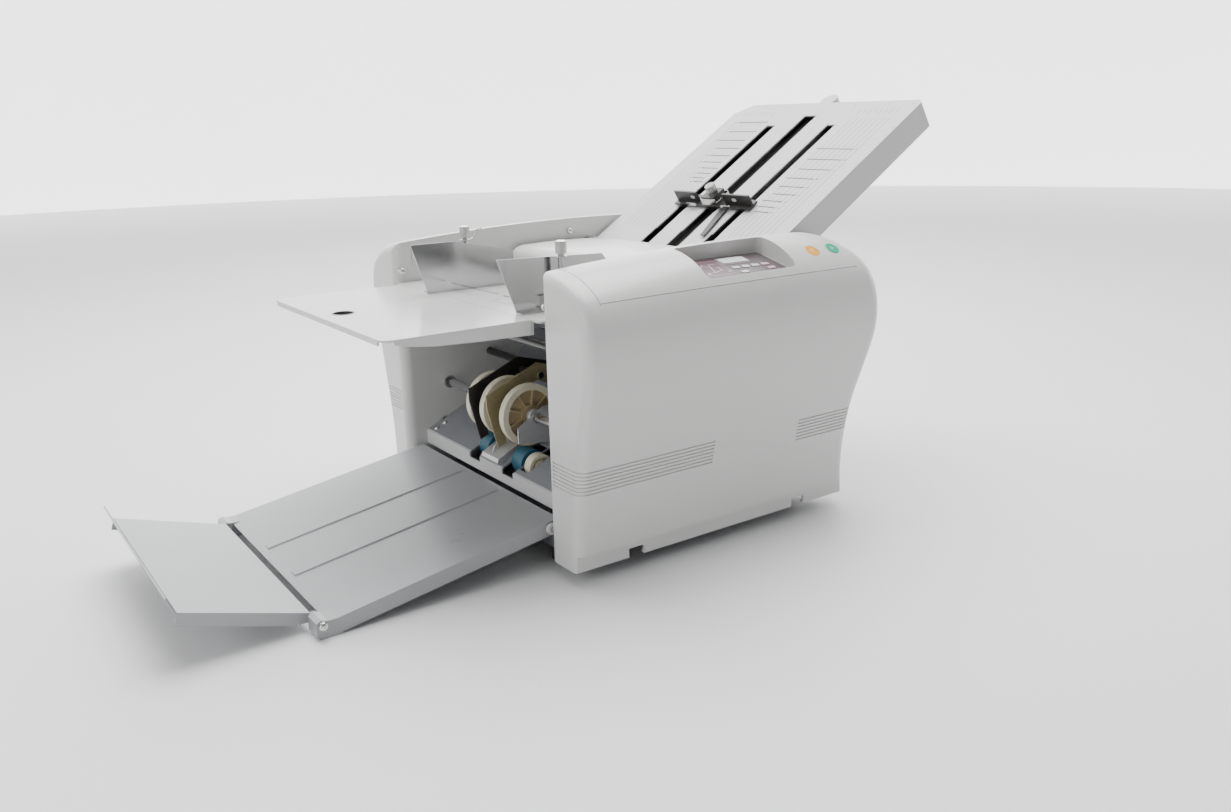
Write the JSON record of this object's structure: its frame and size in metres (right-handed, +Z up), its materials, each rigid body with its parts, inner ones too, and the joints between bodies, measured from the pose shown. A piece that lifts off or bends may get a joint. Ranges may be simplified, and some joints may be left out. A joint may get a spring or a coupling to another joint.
{
  "type": "paper folding machine",
  "caption": "Desktop friction-feed paper folding machine with off-white side covers, raised slotted fold table, feed table with steel guides and a hinged delivery tray",
  "frame": {"origin": "on the desk, under the middle of the whole machine's box", "axes": "+X from the delivery tray to the fold table, +Y to the far side away from the control panel, +Z up"},
  "size_m": [0.9769, 0.5196, 0.4914],
  "materials": {
    "shell_white": "fine moulded texture, warm off-white",
    "painted_white": "glossy off-white enamel",
    "fold_table_grey": "satin light grey powder coat",
    "tray_grey": "satin silver-grey paint",
    "frame_steel": "dark grey painted steel",
    "black_steel": "black painted steel",
    "guide_steel": "mirror polished stainless sheet",
    "knob_steel": "bright plated, knurled",
    "zinc_steel": "zinc plated sheet and ground shafts",
    "roller_rubber": "ground rubber covering",
    "blue_rubber": "teal blue soft rubber",
    "ivory_plastic": "ivory moulded nylon",
    "panel_dark": "dark membrane film",
    "panel_light": "light printed windows and keys",
    "button_green": "translucent green",
    "button_amber": "translucent amber",
    "black_plastic": "black moulded plastic",
    "board_green": "printed circuit board",
    "motor_grey": "cast motor housing"
  },
  "bodies": {
    "chassis": {"base_plate": "frame_steel", "rubber_feet": "roller_rubber", "side_plate_near": "frame_steel", "side_plate_far": "frame_steel", "tie_rods": "black_steel", "shaft_bearings": "zinc_steel", "side_cover_near": "shell_white", "side_cover_far": "shell_white", "cover_screws": "knob_steel", "rear_panel": "fold_table_grey", "power_inlet": "black_plastic", "control_panel": "panel_dark", "display_window": "panel_light", "panel_keys": "panel_light", "circuit_board": "board_green", "feed_table_outer": "painted_white", "feed_table_inner": "painted_white", "table_brackets": "frame_steel", "separation_pad": "roller_rubber", "infeed_plate": "frame_steel", "drive_motor": "motor_grey", "drive_belt": "roller_rubber", "side_belts": "roller_rubber", "exit_plate": "frame_steel", "sheet_ramp": "zinc_steel", "stacker_bracket": "black_steel", "deflector_plate": "zinc_steel", "fold_table_1_plate": "fold_table_grey", "fold_table_1_bed": "frame_steel", "fold_table_1_frame": "fold_table_grey", "fine_adjuster": "black_plastic", "fold_table_2_plate": "fold_table_grey", "fold_table_2_bed": "frame_steel", "hinge_pins": "knob_steel"},
    "start_button": {"start_button": "button_green"},
    "stop_button": {"stop_button": "button_amber"},
    "power_switch": {"power_switch": "black_plastic"},
    "paper_guide_near": {"paper_guide_near": "guide_steel"},
    "guide_knob_near": {"guide_knob_near": "knob_steel"},
    "paper_guide_far": {"paper_guide_far": "guide_steel"},
    "guide_knob_far": {"guide_knob_far": "knob_steel"},
    "feed_roller": {"feed_roller": "roller_rubber"},
    "fold_roller_1": {"fold_roller_1": "roller_rubber"},
    "fold_roller_2": {"fold_roller_2": "roller_rubber", "drive_pulley": "black_plastic"},
    "fold_roller_3": {"fold_roller_3": "roller_rubber"},
    "fold_roller_4": {"fold_roller_4": "roller_rubber"},
    "motor_pulley": {"motor_pulley": "zinc_steel"},
    "exit_rollers": {"exit_shaft": "zinc_steel", "exit_rollers": "blue_rubber", "exit_wheel": "ivory_plastic"},
    "stacker_wheels": {"stacker_shaft": "zinc_steel", "stacker_wheels": "ivory_plastic"},
    "fold_stop_1": {"fold_stop_1": "black_steel"},
    "stop_knob_1": {"stop_knob_1": "knob_steel"},
    "fold_stop_2": {"fold_stop_2": "black_steel"},
    "roller_hood": {"roller_hood": "shell_white"},
    "delivery_tray": {"delivery_tray": "tray_grey", "tray_hinge_screws": "knob_steel"},
    "tray_extension": {"tray_extension": "tray_grey"}
  },
  "joints": [
    {"name": "middle_roller_spin", "type": "hinge", "parent": "chassis", "child": "fold_roller_2", "pos_m": [0.12145, 0, 0.2438], "axis": [0, 1, 0], "continuous": true},
    {"name": "upper_roller_spin", "type": "hinge", "parent": "chassis", "child": "fold_roller_1", "pos_m": [0.11848, 0, 0.27777], "axis": [0, 1, 0], "continuous": true},
    {"name": "rear_roller_spin", "type": "hinge", "parent": "chassis", "child": "fold_roller_3", "pos_m": [0.15542, 0, 0.24677], "axis": [0, 1, 0], "continuous": true},
    {"name": "lower_roller_spin", "type": "hinge", "parent": "chassis", "child": "fold_roller_4", "pos_m": [0.10189, 0, 0.21587], "axis": [0, 1, 0], "continuous": true},
    {"name": "feed_roller_spin", "type": "hinge", "parent": "chassis", "child": "feed_roller", "pos_m": [0.06705, 0, 0.2887], "axis": [0, 1, 0], "continuous": true},
    {"name": "motor_spin", "type": "hinge", "parent": "chassis", "child": "motor_pulley", "pos_m": [0.20605, 0, 0.082], "axis": [0, 1, 0], "continuous": true},
    {"name": "exit_roller_spin", "type": "hinge", "parent": "chassis", "child": "exit_rollers", "pos_m": [-0.05795, 0, 0.0785], "axis": [0, 1, 0], "continuous": true},
    {"name": "stacker_wheel_spin", "type": "hinge", "parent": "chassis", "child": "stacker_wheels", "pos_m": [-0.04895, 0, 0.1326], "axis": [0, 1, 0], "continuous": true},
    {"name": "guide_near_slide", "type": "slide", "parent": "chassis", "child": "paper_guide_near", "axis": [0, 1, 0], "range_m": [-0.031, 0.078]},
    {"name": "guide_far_slide", "type": "slide", "parent": "chassis", "child": "paper_guide_far", "axis": [0, 1, 0], "range_m": [-0.028, 0.081]},
    {"name": "guide_knob_near_turn", "type": "hinge", "parent": "paper_guide_near", "child": "guide_knob_near", "pos_m": [-0.06095, -0.133, 0.338], "axis": [0, 0, 1], "continuous": true},
    {"name": "guide_knob_far_turn", "type": "hinge", "parent": "paper_guide_far", "child": "guide_knob_far", "pos_m": [-0.06095, 0.083, 0.338], "axis": [0, 0, 1], "continuous": true},
    {"name": "fold_stop_1_slide", "type": "slide", "parent": "chassis", "child": "fold_stop_1", "axis": [0.8425, 0, 0.5388], "range_m": [-0.02, 0.17]},
    {"name": "stop_knob_1_turn", "type": "hinge", "parent": "fold_stop_1", "child": "stop_knob_1", "pos_m": [0.26198, 0.002, 0.37024], "axis": [-0.5388, 0, 0.8425], "continuous": true},
    {"name": "fold_stop_2_slide", "type": "slide", "parent": "chassis", "child": "fold_stop_2", "axis": [0.8192, 0, -0.5736], "range_m": [-0.04, 0.065]},
    {"name": "hood_hinge", "type": "hinge", "parent": "chassis", "child": "roller_hood", "pos_m": [0.17605, 0, 0.306], "axis": [0, 1, 0], "range_deg": [0, 75]},
    {"name": "tray_hinge", "type": "hinge", "parent": "chassis", "child": "delivery_tray", "pos_m": [-0.10895, 0, 0.048], "axis": [0, 1, 0], "range_deg": [0, 24]},
    {"name": "extension_hinge", "type": "hinge", "parent": "delivery_tray", "child": "tray_extension", "pos_m": [-0.36095, 0, 0.014], "axis": [0, 1, 0], "range_deg": [0, 105]},
    {"name": "start_press", "type": "slide", "parent": "chassis", "child": "start_button", "axis": [0, 0.5446, -0.8387], "range_m": [0, 0.0015], "stiffness_N_per_m": 400},
    {"name": "stop_press", "type": "slide", "parent": "chassis", "child": "stop_button", "axis": [0, 0.5446, -0.8387], "range_m": [0, 0.0015], "stiffness_N_per_m": 400},
    {"name": "power_rock", "type": "hinge", "parent": "chassis", "child": "power_switch", "pos_m": [0.27105, -0.078, 0.062], "axis": [0, 1, 0], "range_deg": [-6, 6]}
  ],
  "couplings": [
    {"joint": "upper_roller_spin", "follows": "middle_roller_spin", "ratio": -1},
    {"joint": "rear_roller_spin", "follows": "middle_roller_spin", "ratio": -1},
    {"joint": "lower_roller_spin", "follows": "middle_roller_spin", "ratio": -1},
    {"joint": "feed_roller_spin", "follows": "middle_roller_spin", "ratio": -1},
    {"joint": "motor_spin", "follows": "middle_roller_spin", "ratio": 2},
    {"joint": "exit_roller_spin", "follows": "middle_roller_spin", "ratio": -1},
    {"joint": "stacker_wheel_spin", "follows": "middle_roller_spin", "ratio": 0.44595}
  ]
}
